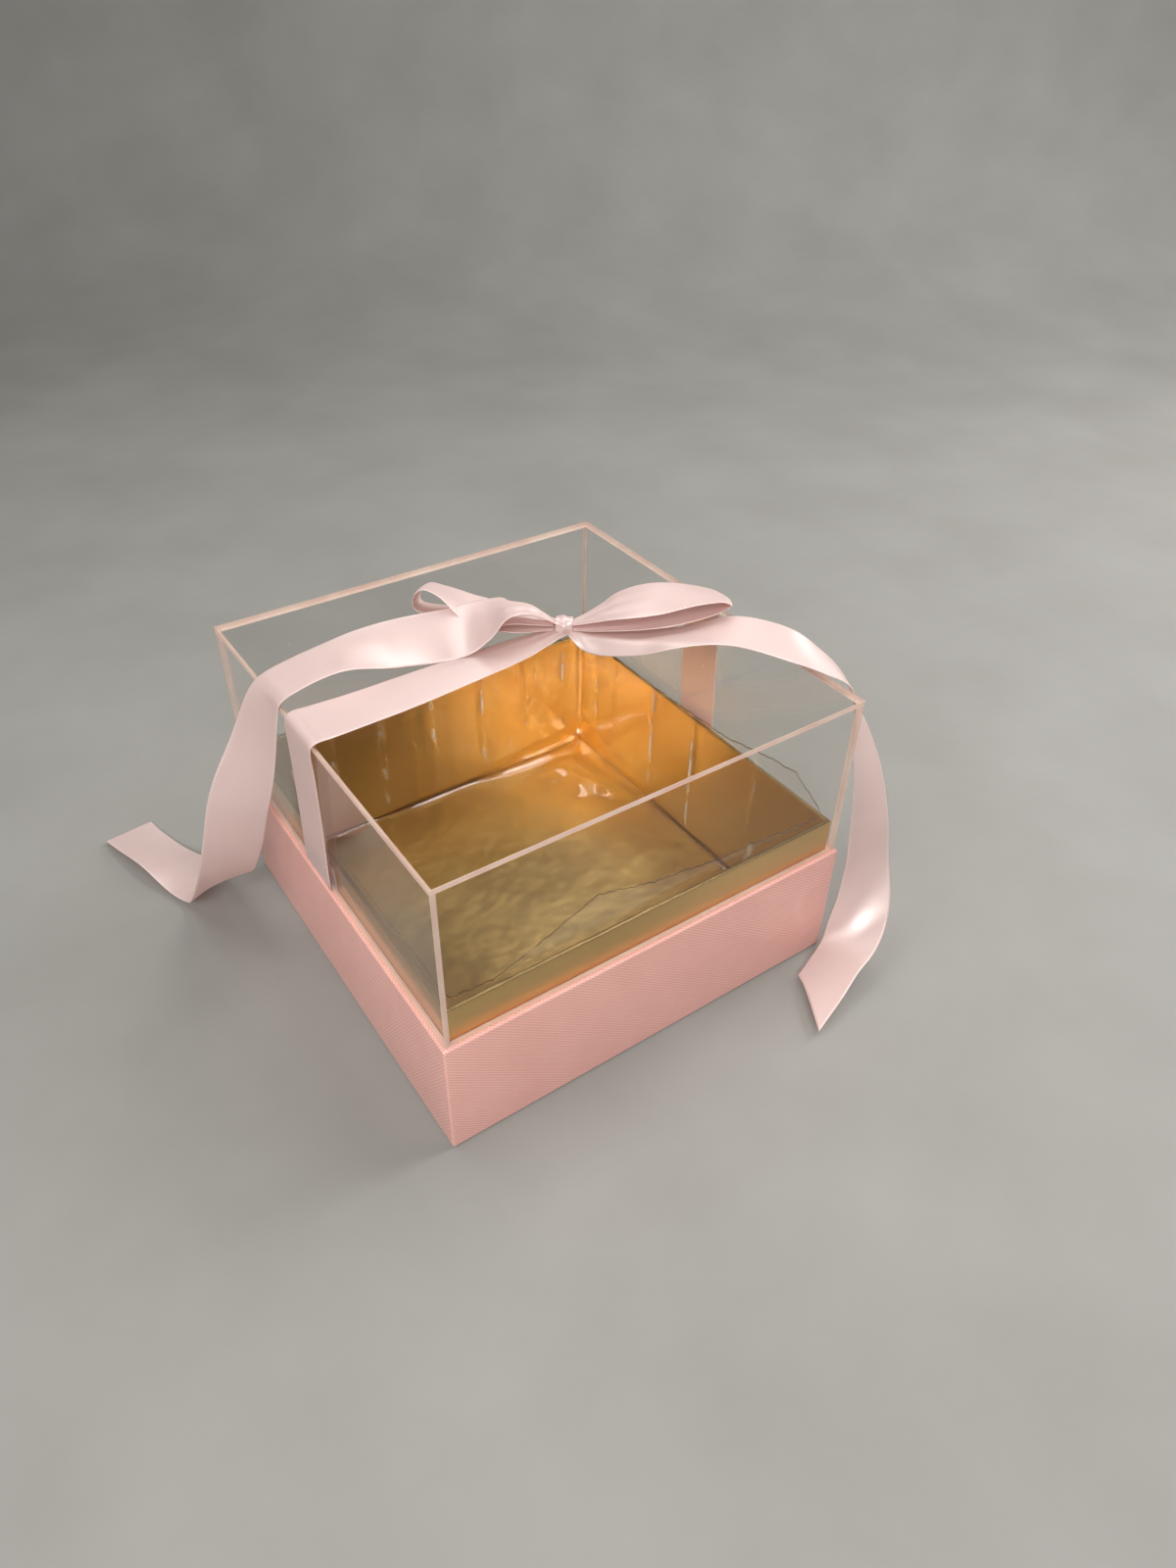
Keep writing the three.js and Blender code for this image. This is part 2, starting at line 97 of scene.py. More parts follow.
def ramp(finish, factor, low, high, start=0.3, end=0.7):
    """A colour that runs from low to high while the factor runs from start to end."""
    made = add_node(finish, "ShaderNodeValToRGB", {"Fac": factor})
    stops = made.color_ramp.elements
    stops[0].position, stops[1].position = start, end
    stops[0].color, stops[1].color = (*low, 1), (*high, 1)
    return made.outputs["Color"]


def spread(finish, factor, low, high):
    """A number that runs from low to high while the factor runs from 0 to 1."""
    values = {"Value": factor, "To Min": low, "To Max": high}
    return add_node(finish, "ShaderNodeMapRange", values).outputs["Result"]


def speckle(finish, place, scale, detail=4.0, roughness=0.55):
    """Cloudy noise between 0 and 1, with about scale clouds to the metre."""
    values = {"Vector": place, "Scale": scale, "Detail": detail, "Roughness": roughness}
    return add_node(finish, "ShaderNodeTexNoise", values).outputs["Fac"]


def relief(finish, height, strength, depth, under=None):
    """The surface's direction with a fine relief pressed into it, on top of another one where it is given."""
    values = {"Height": height, "Strength": strength, "Distance": depth}
    if under is not None:
        values["Normal"] = under
    return add_node(finish, "ShaderNodeBump", values).outputs["Normal"]


def object_place(finish):
    """The place on the piece itself, in metres."""
    return add_node(finish, "ShaderNodeTexCoord").outputs["Object"]


def wear(name, finish):
    """Gives a solid of the frame its finish."""
    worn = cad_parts[name].data.materials
    worn.clear()
    worn.append(finish)


greyboard, shader = new_finish("greyboard")
fibres = speckle(greyboard, object_place(greyboard), 900.0, 6.0, 0.7)
tone = ramp(greyboard, fibres, (0.17, 0.15, 0.12), (0.36, 0.32, 0.27))
join(greyboard, tone, shader.inputs["Base Color"])
join(greyboard, spread(greyboard, fibres, 0.8, 0.95), shader.inputs["Roughness"])
join(greyboard, relief(greyboard, fibres, 0.4, 0.0003), shader.inputs["Normal"])
for board in ("floor_board", "front_wall_board", "right_wall_board", "back_wall_board", "left_wall_board"):
    wear(board, greyboard)


# Plain paper: gummed tape round the board's upright corners, and the sheet pasted over the underside.
# Both are thin uncoated paper, off-white, with a faint fibre.
plain_paper, shader = new_finish("plain_paper")
fibres = speckle(plain_paper, object_place(plain_paper), 1400.0, 5.0, 0.6)
tone = ramp(plain_paper, fibres, (0.60, 0.51, 0.44), (0.74, 0.66, 0.58))
join(plain_paper, tone, shader.inputs["Base Color"])
join(plain_paper, spread(plain_paper, fibres, 0.75, 0.9), shader.inputs["Roughness"])
join(plain_paper, relief(plain_paper, fibres, 0.25, 0.0001), shader.inputs["Normal"])
for paper in ("bottom_paper", "corner_stay_1", "corner_stay_2", "corner_stay_3", "corner_stay_4"):
    wear(paper, plain_paper)


# Wrap: one sheet of embossed pink paper over the tray's outside. It is folded under the tray at the foot, and
# over the rim and down the inside at the top. The folds are crisp, but the board rounds them a little.
TRAY_HALF = 0.100
TRAY_TOP = 0.060
WRAP_FOOT = 0.00035
WRAP_PAPER = 0.00025
TURN_UNDER = 0.018
TURN_IN = 0.022
RIM_WIDTH = 0.00395
WRAP_CORNER = 0.0009
RIB_SCALE = 251.0
RIB_TURNS = (-0.927, 0.63)


def square_ring(half, radius, per_side, per_corner):
    """Points round a square with rounded corners, from the left of the front side, and the length to each.

    Each side is a straight run of equal steps, and each corner a quarter circle of that radius.
    """
    flat = half - radius
    runs = []
    for quarter in range(4):
        turn = np.exp(1j * np.pi / 2 * quarter)
        side = np.linspace(-flat, flat, per_side, endpoint=False) - 1j * half
        angle = np.linspace(-np.pi / 2, 0, per_corner, endpoint=False)
        corner = flat - 1j * flat + radius * np.exp(1j * angle)
        runs.append(turn * np.concatenate([side, corner]))
    ring = np.concatenate(runs)
    ring = np.append(ring, ring[0])
    length = np.concatenate([[0.0], np.cumsum(np.abs(np.diff(ring)))])
    return np.stack([ring.real, ring.imag], axis=1), length


def rounded_profile(corners, radius, per_turn=6):
    """A line through the given corners, each turned in an arc of about that radius.

    A turn is a quadratic curve between the two points that lie the radius before and after its corner.
    """
    corners = np.asarray(corners, float)
    step = np.linspace(0, 1, per_turn)[:, None]
    line = [corners[:1]]
    for before, corner, after in zip(corners, corners[1:], corners[2:]):
        start = corner + (before - corner) / np.linalg.norm(before - corner) * radius
        end = corner + (after - corner) / np.linalg.norm(after - corner) * radius
        line.append((1 - step) ** 2 * start + 2 * step * (1 - step) * corner + step**2 * end)
    line.append(corners[-1:])
    return np.concatenate(line)


def surface(name, points, uv):
    """A smooth mesh object from a grid of points, rows by columns by 3, with its map in metres."""
    rows, columns = points.shape[:2]
    number = np.arange(rows * columns).reshape(rows, columns)
    corners = [number[:-1, :-1], number[:-1, 1:], number[1:, 1:], number[1:, :-1]]
    quads = np.stack(corners, axis=-1).reshape(-1, 4)
    mesh = bpy.data.meshes.new(name)
    mesh.from_pydata(points.reshape(-1, 3), [], quads.tolist())
    layer = mesh.uv_layers.new(name="sheet")
    layer.data.foreach_set("uv", uv.reshape(-1, 2)[quads.reshape(-1)].astype(np.float32).ravel())
    mesh.polygons.foreach_set("use_smooth", np.full(len(quads), True))
    made = bpy.data.objects.new(name, mesh)
    bpy.context.scene.collection.objects.link(made)
    return made


def merge_seams(piece, distance=1e-6):
    """Joins points that lie on each other, so that a ring closes."""
    mesh = bmesh.new()
    mesh.from_mesh(piece.data)
    bmesh.ops.remove_doubles(mesh, verts=mesh.verts, dist=distance)
    mesh.to_mesh(piece.data)
    mesh.free()


def thicken(piece, thickness, offset):
    """Gives a sheet its thickness with a live Solidify modifier."""
    made = piece.modifiers.new("thickness", "SOLIDIFY")
    made.thickness = thickness
    made.offset = offset


def ribs_across(finish, sheet_place, turn):
    """Fine ribs 1.25 mm apart, whose rows are turned by that angle on the sheet."""
    turned = add_node(finish, "ShaderNodeMapping", {"Vector": sheet_place, "Rotation": (0, 0, turn)})
    values = {"Vector": turned.outputs["Vector"], "Scale": RIB_SCALE}
    values |= {"Distortion": 0.8, "Detail": 2.0, "Detail Scale": 2.0}
    return add_node(finish, "ShaderNodeTexWave", values, bands_direction="X").outputs["Fac"]


def blend_colours(finish, share, first, second, blend_type="MIX"):
    """The first colour with that share of the second blended in."""
    values = {"Factor": share, "A": first, "B": second}
    blend = add_node(finish, "ShaderNodeMix", values, data_type="RGBA", blend_type=blend_type)
    return blend.outputs["Result"]


profile = rounded_profile(
    [
        [TRAY_HALF - TURN_UNDER, WRAP_FOOT],
        [TRAY_HALF, WRAP_FOOT],
        [TRAY_HALF, TRAY_TOP],
        [TRAY_HALF - RIM_WIDTH, TRAY_TOP],
        [TRAY_HALF - RIM_WIDTH, TRAY_TOP - TURN_IN],
    ],
    WRAP_CORNER,
)
ring, around = square_ring(TRAY_HALF, WRAP_CORNER, 40, 6)
inset = profile[:, 0] - TRAY_HALF
outward = np.where(np.abs(ring) > TRAY_HALF - WRAP_CORNER - 1e-9, np.sign(ring), 0)
points = np.empty((len(ring), len(profile), 3))
points[..., :2] = ring[:, None] + outward[:, None] * inset[None, :, None]
points[..., 2] = profile[None, :, 1]
up_profile = np.concatenate([[0.0], np.cumsum(np.linalg.norm(np.diff(profile, axis=0), axis=1))])
uv = np.stack(np.broadcast_arrays(around[:, None], up_profile[None, :]), axis=-1)
wrap = surface("wrap_sheet", points, uv)
merge_seams(wrap)
thicken(wrap, WRAP_PAPER, 1.0)

pink_paper, shader = new_finish("pink_paper")
sheet_place = add_node(pink_paper, "ShaderNodeTexCoord").outputs["UV"]
ribs = [ribs_across(pink_paper, sheet_place, turn) for turn in RIB_TURNS]
crossed = {"Factor": 0.4, "A": ribs[0], "B": ribs[1]}
emboss = add_node(pink_paper, "ShaderNodeMix", crossed, data_type="FLOAT").outputs["Result"]
clouds = speckle(pink_paper, object_place(pink_paper), 45.0, 3.0)
tone = ramp(pink_paper, clouds, (0.83, 0.425, 0.375), (0.88, 0.475, 0.42), 0.25, 0.75)
# Painted shade: the colour is darkened in the hollows of the emboss, on top of the relief that the bump
# gives.
shade = ramp(pink_paper, emboss, (0.74, 0.72, 0.72), (1.0, 1.0, 1.0), 0.15, 0.7)
join(pink_paper, blend_colours(pink_paper, 1.0, tone, shade, "MULTIPLY"), shader.inputs["Base Color"])
join(pink_paper, spread(pink_paper, emboss, 0.6, 0.46), shader.inputs["Roughness"])
shader.inputs["Coat Weight"].default_value = 0.5
shader.inputs["Coat Roughness"].default_value = 0.18
join(pink_paper, relief(pink_paper, emboss, 0.8, 0.0002), shader.inputs["Normal"])
wrap.data.materials.append(pink_paper)
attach(wrap, "base")
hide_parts("wrap_paper")


# Gold lining: four boards faced with metallised foil stand inside the tray as the neck, and a fifth lies as
# its floor. The foil is pressed on by hand, so its mirror is soft and its reflections swim. The neck's top
# edge is cut through the foil and is darker.
NECK_TOP = float(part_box("front_collar_board")[1][2])
CUT_EDGE_DEPTH = 0.0002
CUT_EDGE_COLOUR = (0.33, 0.215, 0.085, 1.0)


def work_out(finish, operation, *numbers):
    """The result of a sum on one or two numbers."""
    return add_node(finish, "ShaderNodeMath", dict(enumerate(numbers)), operation=operation).outputs[0]


gold_foil, shader = new_finish("gold_foil")
place = object_place(gold_foil)
clouds = speckle(gold_foil, place, 13.0, 1.0)
grain = speckle(gold_foil, place, 2600.0, 2.0)
tone = ramp(gold_foil, clouds, (0.665, 0.44, 0.152), (0.74, 0.51, 0.197))
height = add_node(gold_foil, "ShaderNodeSeparateXYZ", {0: place}).outputs["Z"]
cut = work_out(gold_foil, "GREATER_THAN", height, NECK_TOP - CUT_EDGE_DEPTH)
join(gold_foil, blend_colours(gold_foil, cut, tone, CUT_EDGE_COLOUR), shader.inputs["Base Color"])
shader.inputs["Metallic"].default_value = 1.0
join(gold_foil, spread(gold_foil, clouds, 0.29, 0.4), shader.inputs["Roughness"])
upright = add_node(gold_foil, "ShaderNodeMapping", {"Vector": place, "Scale": (55.0, 55.0, 7.0)})
streaks = speckle(gold_foil, upright.outputs["Vector"], 1.0, 2.0)
pressed = relief(gold_foil, streaks, 0.5, 0.0015)
swim = relief(gold_foil, clouds, 0.25, 0.001, pressed)
join(gold_foil, relief(gold_foil, grain, 0.06, 0.00004, swim), shader.inputs["Normal"])
for side in ("front", "right", "back", "left"):
    wear(f"{side}_collar_board", gold_foil)
wear("gold_floor_board", gold_foil)


# Film: a loose sheet of clear film, pressed up into a tray inside the gold. Its walls are creased from top to
# bottom here and there, it rounds off the far corner in crumples, and its top edge is torn unevenly.
FILM_HALF = 93.4
FILM_CORNER = 4.0
FILM_FLOOR = 6.2
FILM_CROWN = NECK_TOP * 1000
FILM_EDGE_AT = [-1.0, -0.8, -0.6, -0.29, 0.0, 0.36, 0.7, 1.0]
FILM_EDGE_RISE = {
    "front": [3.0, 1.5, 8.0, 20.0, 12.0, 7.0, 5.0, 3.0],
    "right": [3.0, 14.0, 11.5, 5.0, 3.5, 2.5, 2.0, 3.0],
    "back": [3.0, 2.5, 2.0, 3.0, 4.0, 3.8, 2.5, 3.0],
    "left": [3.0, 3.2, 3.0, 2.0, 1.6, 2.4, 4.0, 3.0],
}
FILM_ARC = 3.0
FILM_ARC_SWAY = 1.2
FAR_CORNER_ARC = 13.0
FAR_CORNER_REACH = 60.0
CREASE_WIDTH = 0.014
CREASE_DEPTH = 0.8
WAVE_HEIGHT = 0.3
FILM_CUT_LINE = 0.0007
FILM_TENTS = [(67, 74, 7.0), (78, 60, 6.0), (82, 47, 5.5), (56, 80, 6.0), (66, 56, 5.0)]
FILM_CREASES = {
    "front": [-0.62, 0.15, 0.55],
    "right": [-0.55, -0.05, 0.3, 0.66, 0.84],
    "back": [-0.86, -0.6, -0.3, 0.02, 0.33, 0.62],
    "left": [-0.5, 0.1, 0.6],
}


def film_tray():
    """Points of the film, its map (the way round, and the distance below the cut edge), creases and folds.

    Each line of points runs from the middle of the floor outwards, turns up through an arc and climbs the
    wall to the cut edge. The arc is wide in the far corner and narrow elsewhere. Ridges with the profile of a
    bell stand inwards along the creases, low sine waves cross the floor, and round tents with the profile of
    a bell, half as high as they are wide, stand on it in the far corner. The crease and fold that are
    returned are masks for the finish's painted highlights along the creases and painted dark line at the
    foot.
    """
    ring, around = square_ring(FILM_HALF, FILM_CORNER, 120, 12)
    x, y = ring.T
    wall_of = np.select([y <= -np.abs(x) + 1e-9, x >= np.abs(y), y >= np.abs(x)], [0, 1, 2], 3)
    share = np.choose(wall_of, [x, y, -x, -y]) / FILM_HALF
    rise = np.choose(wall_of, [np.interp(share, FILM_EDGE_AT, edge) for edge in FILM_EDGE_RISE.values()])
    rise = rise + 0.5 * np.sin(around * 0.9) * np.sin(around * 0.37)
    ridges = [np.subtract.outer(share, creases) / CREASE_WIDTH for creases in FILM_CREASES.values()]
    ridge = np.choose(wall_of, [np.exp(-(off**2)).sum(axis=1) for off in ridges])
    far = np.exp(-(((x - FILM_HALF) ** 2 + (y - FILM_HALF) ** 2) / FAR_CORNER_REACH**2))
    arc = (FILM_ARC + FAR_CORNER_ARC * far + FILM_ARC_SWAY * np.sin(around * 0.11))[:, None]
    out = np.linspace(0, 1, 90)
    turn = np.linspace(0, np.pi / 2, 14)[1:]
    climb = np.linspace(0, 1, 50)[1:]
    one = np.ones((len(ring), 1))
    top = (FILM_CROWN + rise)[:, None]
    foot = FILM_FLOOR + arc
    pull = [out * (1 - arc / FILM_HALF), 1 - arc * (1 - np.sin(turn)) / FILM_HALF, one + 0 * climb]
    pull = np.concatenate(pull, axis=1)
    height = [FILM_FLOOR * one + 0 * out, FILM_FLOOR + arc * (1 - np.cos(turn)), foot + (top - foot) * climb]
    height = np.concatenate(height, axis=1)
    standing = np.concatenate([0 * out, 0 * turn, np.sin(np.pi * np.minimum(climb, 0.75)) ** 0.7])
    sway = 0.35 + 0.35 * np.sin(around * 0.095 + 1.1) * np.cos(around * 0.037)
    beat = 1 + 0.5 * np.sin(height * 0.33 + around[:, None] * 0.4)
    inward = (CREASE_DEPTH * ridge[:, None] * beat + sway[:, None]) * standing
    plan = ring[:, None] * (pull - inward / FILM_HALF)[..., None]
    px, py = plan[..., 0], plan[..., 1]
    tents = sum(
        0.5 * wide * np.exp(-((px - tent_x) ** 2 + (py - tent_y) ** 2) / (2 * wide**2))
        for tent_x, tent_y, wide in FILM_TENTS
    )
    waves = np.sin(px * 0.13 + 1.7 * np.sin(py * 0.05)) * np.sin(py * 0.11 + 1.3 * np.sin(px * 0.07))
    lying = np.concatenate([np.minimum((1 - out) * 14, 1), 0 * turn, 0 * climb])
    height = height + (WAVE_HEIGHT * (1 + waves) + tents) * lying
    points = np.concatenate([plan, height[..., None]], axis=-1) / 1000
    below = [(0.2 - 0.1 * out) * one, (0.1 - 0.01 * turn) * one, (top - foot) * (1 - climb) / 1000]
    below = np.concatenate(below, axis=1)
    uv = np.stack([np.broadcast_to(around[:, None] / 1000, below.shape), below], axis=-1)
    crease = ridge[:, None] ** 3 * standing
    fold = np.concatenate([0 * out, np.exp(-(((turn - 0.8) / 0.25) ** 2)), 0 * climb])
    return points, uv, crease, fold * np.clip(1.6 - arc / 6, 0.2, 1)


def mark(piece, name, values):
    """Keeps a number at each point of a piece, for its finish to read."""
    layer = piece.data.attributes.new(name, "FLOAT", "POINT")
    layer.data.foreach_set("value", values.astype(np.float32).ravel())


def mirror_share(finish, head_on, normal=None):
    """How much a clear sheet mirrors: the share head on, rising to 1 with the fifth power of the slant."""
    values = {"Blend": 0.5}
    if normal is not None:
        values["Normal"] = normal
    slant = add_node(finish, "ShaderNodeLayerWeight", values).outputs["Facing"]
    return spread(finish, work_out(finish, "POWER", slant, 5.0), head_on, 1.0)


def mixed(finish, share, first, second):
    """The first shader with that share of the second mixed in."""
    return add_node(finish, "ShaderNodeMixShader", {0: share, 1: first, 2: second}).outputs["Shader"]


def show(finish, whole):
    """Makes a shader the one that its finish shows."""
    join(finish, whole, finish.node_tree.nodes["Material Output"].inputs["Surface"])


points, uv, crease, fold = film_tray()
film = surface("film_tray", points, uv)
mark(film, "crease", crease)
mark(film, "fold", fold)
merge_seams(film)

clear_film, shader = new_finish("clear_film")
place = object_place(clear_film)
crumple = relief(clear_film, speckle(clear_film, place, 60.0, 3.0, 0.6), 0.1, 0.001)
mirror = {"Color": (1.0, 1.0, 1.0, 1.0), "Roughness": 0.08, "Normal": crumple}
gloss = add_node(clear_film, "ShaderNodeBsdfGlossy", mirror).outputs["BSDF"]
sheet_place = add_node(clear_film, "ShaderNodeTexCoord").outputs["UV"]
below = add_node(clear_film, "ShaderNodeSeparateXYZ", {0: sheet_place}).outputs["Y"]
# Painted dark line: the clear film is tinted dark brown along its cut edge and in the fold at its foot,
# standing in for the light bent at the edge and the shade in the fold.
cut_edge = work_out(clear_film, "LESS_THAN", below, FILM_CUT_LINE)
painted_fold_shade = add_node(clear_film, "ShaderNodeAttribute", attribute_name="fold").outputs["Fac"]
painted_dark_line = work_out(clear_film, "MAXIMUM", cut_edge, painted_fold_shade)
clear_tint_and_painted_line = ramp(clear_film, painted_dark_line, (0.97, 0.97, 0.96), (0.42, 0.33, 0.22), 0.0, 1.0)
sight = add_node(clear_film, "ShaderNodeBsdfTransparent", {"Color": clear_tint_and_painted_line}).outputs["BSDF"]
through = mixed(clear_film, mirror_share(clear_film, 0.08, crumple), sight, gloss)
# Painted highlights: patches along the creases mix in an opaque pale diffuse, standing in for the lamps'
# glints in the creased film.
crease = add_node(clear_film, "ShaderNodeAttribute", attribute_name="crease").outputs["Fac"]
patches = speckle(clear_film, place, 90.0, 2.0)
highlight_patches = ramp(clear_film, patches, (0.0, 0.0, 0.0), (1.0, 1.0, 1.0), 0.5, 0.64)
painted_crease_highlight = spread(clear_film, work_out(clear_film, "MULTIPLY", crease, highlight_patches), 0.0, 0.7)
shader.inputs["Base Color"].default_value = (0.98, 0.96, 0.92, 1.0)
shader.inputs["Roughness"].default_value = 0.3
show(clear_film, mixed(clear_film, painted_crease_highlight, through, shader.outputs["BSDF"]))
film.data.materials.append(clear_film)
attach(film, "base")
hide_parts("film_liner")


# Lid: five sheets of 2 mm cast acrylic, glued edge to face. The faces are clear with a cold gloss, and the
# sawn and polished edges are painted as pale pinkish lines: painted light for the light they gather and the
# pink paper and ribbon they reflect.
def acrylic_finish(name, across):
    """Clear on the faces, pale and half clear on the edges, whose direction isn't along that axis.

    The lower edges stand on paper and show what is behind them.
    """
    finish, shader = new_finish(name)
    place = object_place(finish)
    direction = add_node(finish, "ShaderNodeNewGeometry").outputs["Normal"]
    facing = add_node(finish, "ShaderNodeSeparateXYZ", {0: direction}).outputs
    sawn = work_out(finish, "LESS_THAN", work_out(finish, "ABSOLUTE", facing[across]), 0.9)
    not_lower = work_out(finish, "GREATER_THAN", facing["Z"], -0.5)
    edge = work_out(finish, "MULTIPLY", sawn, not_lower)
    smear = spread(finish, speckle(finish, place, 14.0, 3.0), 0.01, 0.06)
    mirror = {"Color": (1.0, 1.0, 1.0, 1.0), "Roughness": smear}
    gloss = add_node(finish, "ShaderNodeBsdfGlossy", mirror).outputs["BSDF"]
    sight = add_node(finish, "ShaderNodeBsdfTransparent", {"Color": (0.985, 0.985, 0.98, 1.0)})
    face = mixed(finish, mirror_share(finish, 0.02), sight.outputs["BSDF"], gloss)
    # Painted light: the edges get a pale pinkish colour, partly see-through, standing in for the light they
    # gather and the pink round them that they reflect.
    glow = add_node(finish, "ShaderNodeTexNoise", {"Vector": place, "Scale": 60.0}).outputs["Fac"]
    join(finish, ramp(finish, glow, (0.68, 0.46, 0.39), (0.76, 0.59, 0.51)), shader.inputs["Base Color"])
    shader.inputs["Roughness"].default_value = 0.25
    dim_sight = add_node(finish, "ShaderNodeBsdfTransparent", {"Color": (0.9, 0.85, 0.8, 1.0)})
    polished = mixed(finish, 0.72, dim_sight.outputs["BSDF"], shader.outputs["BSDF"])
    show(finish, mixed(finish, edge, face, polished))
    return finish


wear("lid_top_panel", acrylic_finish("acrylic_top", "Z"))
acrylic_ends = acrylic_finish("acrylic_ends", "Y")
acrylic_sides = acrylic_finish("acrylic_sides", "X")
for panel in ("lid_front_panel", "lid_back_panel"):
    wear(panel, acrylic_ends)
for panel in ("lid_left_panel", "lid_right_panel"):
    wear(panel, acrylic_sides)


# Satin ribbon: 25 mm polyester satin with a woven edge. One length goes over the lid and is stuck inside it,
# and the bow with its two tails is tied on that. Each length is a strip carried along a route of stops.
RIBBON_WIDTH = 0.025
RIBBON = 0.0003
SELVEDGE_FROM = 0.0116
CREASE_BEND = 0.5
PLEATS = 3
PLEAT_SHIFT = 0.6


def through_stops(stops, per_stop):
    """A smooth line through the stops, in all their columns, with that many steps to a stop.

    It is a Catmull-Rom spline whose knots are spaced by the square root of the distance between stops.
    """
    stops = np.asarray(stops, float)
    padded = np.concatenate([2 * stops[:1] - stops[1:2], stops, 2 * stops[-1:] - stops[-2:-1]])
    gap = np.sqrt(np.linalg.norm(np.diff(padded[:, :3], axis=0), axis=1))[:, None]
    p0, p1, p2, p3 = padded[:-3], padded[1:-2], padded[2:-1], padded[3:]
    d0, d1, d2 = gap[:-2], gap[1:-1], gap[2:]
    m1 = ((p1 - p0) / d0 - (p2 - p0) / (d0 + d1) + (p2 - p1) / d1) * d1
    m2 = ((p2 - p1) / d1 - (p3 - p1) / (d1 + d2) + (p3 - p2) / d2) * d1
    t = np.linspace(0, 1, per_stop, endpoint=False)[None, :, None]
    line = (
        (2 * t**3 - 3 * t**2 + 1) * p1[:, None]
        + (t**3 - 2 * t**2 + t) * m1[:, None]
        + (3 * t**2 - 2 * t**3) * p2[:, None]
        + (t**3 - t**2) * m2[:, None]
    )
    return np.concatenate([line.reshape(-1, stops.shape[1]), stops[-1:]])


def strip_points(stops, per_stop=12, columns=33, slant=0.0, square=True):
    """The points of a strip of ribbon, its map coordinates, and its length in metres.

    A stop is the middle line's place in mm, the turn and tilt of the width in degrees, the share of the width
    that is left, then what bends the section: cup, the place in mm and angle of one crease, and the angle of
    three pleats. The section's slope is the sum of those bends, and its points are the running sums of the
    slope's cosine and sine. Unless it is square to the middle line, a section keeps the stop's own direction,
    as a slanting fold does. A slant cuts the far end short along one edge, by that share of the length.
    """
    line = through_stops(stops, per_stop)
    across = np.linspace(-0.5, 0.5, columns)
    run = np.linspace(0, 1, len(line))
    cut = run[:, None] * (1 - slant * (0.5 - across[None]))
    table = np.stack([np.interp(cut, run, column) for column in line.T], axis=-1)
    middle = table[..., :3] / 1000
    turn, tilt, wide, cup, crease_at, crease, pleat = np.moveaxis(table[..., 3:], -1, 0)
    turn, tilt, cup, crease, pleat = np.radians([turn, tilt, cup, crease, pleat])
    along = np.gradient(line[:, :3], axis=0)
    along = np.stack([np.interp(cut, run, column) for column in along.T], axis=-1)
    along /= np.linalg.norm(along, axis=-1, keepdims=True)
    side = np.stack([np.cos(turn) * np.cos(tilt), np.sin(turn) * np.cos(tilt), np.sin(tilt)], axis=-1)
    if square:
        side -= np.sum(side * along, axis=-1, keepdims=True) * along
        side /= np.linalg.norm(side, axis=-1, keepdims=True)
    face = np.cross(side, along)
    face *= np.sign(face[0, columns // 2, 2]) / np.linalg.norm(face, axis=-1, keepdims=True)
    slope = cup * across
    slope = slope - crease / (1 + np.exp((across * RIBBON_WIDTH * 1000 - crease_at) / CREASE_BEND))
    slope = slope + pleat * np.cos(across * 2 * np.pi * PLEATS + PLEAT_SHIFT)
    step = RIBBON_WIDTH / (columns - 1)
    sideways = np.cumsum(np.cos(slope), axis=1) * step
    lift = -np.cumsum(np.sin(slope), axis=1) * step
    sideways -= sideways[:, columns // 2, None]
    lift -= lift[:, columns // 2, None]
    points = middle + side * (sideways * wide)[..., None] + face * (lift * wide)[..., None]
    length = float(np.cumsum(np.linalg.norm(np.diff(line[:, :3], axis=0), axis=1))[-1] / 1000)
    uv = np.stack([np.broadcast_to(across * RIBBON_WIDTH, cut.shape), cut * length], axis=-1)
    return points, uv, length


def satin_strip(name, stops, **shape):
    """A strip of ribbon with its thickness, and its length."""
    points, uv, length = strip_points(stops, **shape)
    strip = surface(name, points, uv)
    thicken(strip, RIBBON, 0.0)
    return strip, length


def hang(strip, node):
    """Dresses a strip in satin and puts it on the lid, in place of its solid."""
    strip.data.materials.append(satin)
    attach(strip, "lid")
    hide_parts(node)


satin, shader = new_finish("satin")
sheet_place = add_node(satin, "ShaderNodeTexCoord").outputs["UV"]
clouds = speckle(satin, object_place(satin), 60.0, 3.0)
stretched = add_node(satin, "ShaderNodeMapping", {"Vector": sheet_place, "Scale": (3200.0, 160.0, 1.0)})
threads = speckle(satin, stretched.outputs["Vector"], 1.0, 2.0)
wefts = {"Vector": sheet_place, "Scale": 330.0, "Distortion": 0.4}
weft = add_node(satin, "ShaderNodeTexWave", wefts, bands_direction="Y").outputs["Fac"]
sideways = add_node(satin, "ShaderNodeSeparateXYZ", {0: sheet_place}).outputs["X"]
selvedge = work_out(satin, "GREATER_THAN", work_out(satin, "ABSOLUTE", sideways), SELVEDGE_FROM)
beads = work_out(satin, "MULTIPLY", weft, selvedge)
cloth = ramp(satin, clouds, (0.73, 0.622, 0.602), (0.77, 0.662, 0.642))
join(satin, blend_colours(satin, beads, cloth, (0.92, 0.82, 0.80, 1.0)), shader.inputs["Base Color"])
join(satin, spread(satin, threads, 0.32, 0.41), shader.inputs["Roughness"])
shader.inputs["IOR"].default_value = 2.0
shader.inputs["Anisotropic"].default_value = 0.75
shader.inputs["Specular IOR Level"].default_value = 1.0
shader.inputs["Specular Tint"].default_value = (1.0, 0.93, 0.92, 1.0)
shader.inputs["Sheen Weight"].default_value = 0.2
shader.inputs["Sheen Roughness"].default_value = 0.4
shader.inputs["Sheen Tint"].default_value = (1.0, 0.9, 0.88, 1.0)
crosswise = add_node(satin, "ShaderNodeTangent", direction_type="UV_MAP", uv_map="sheet")
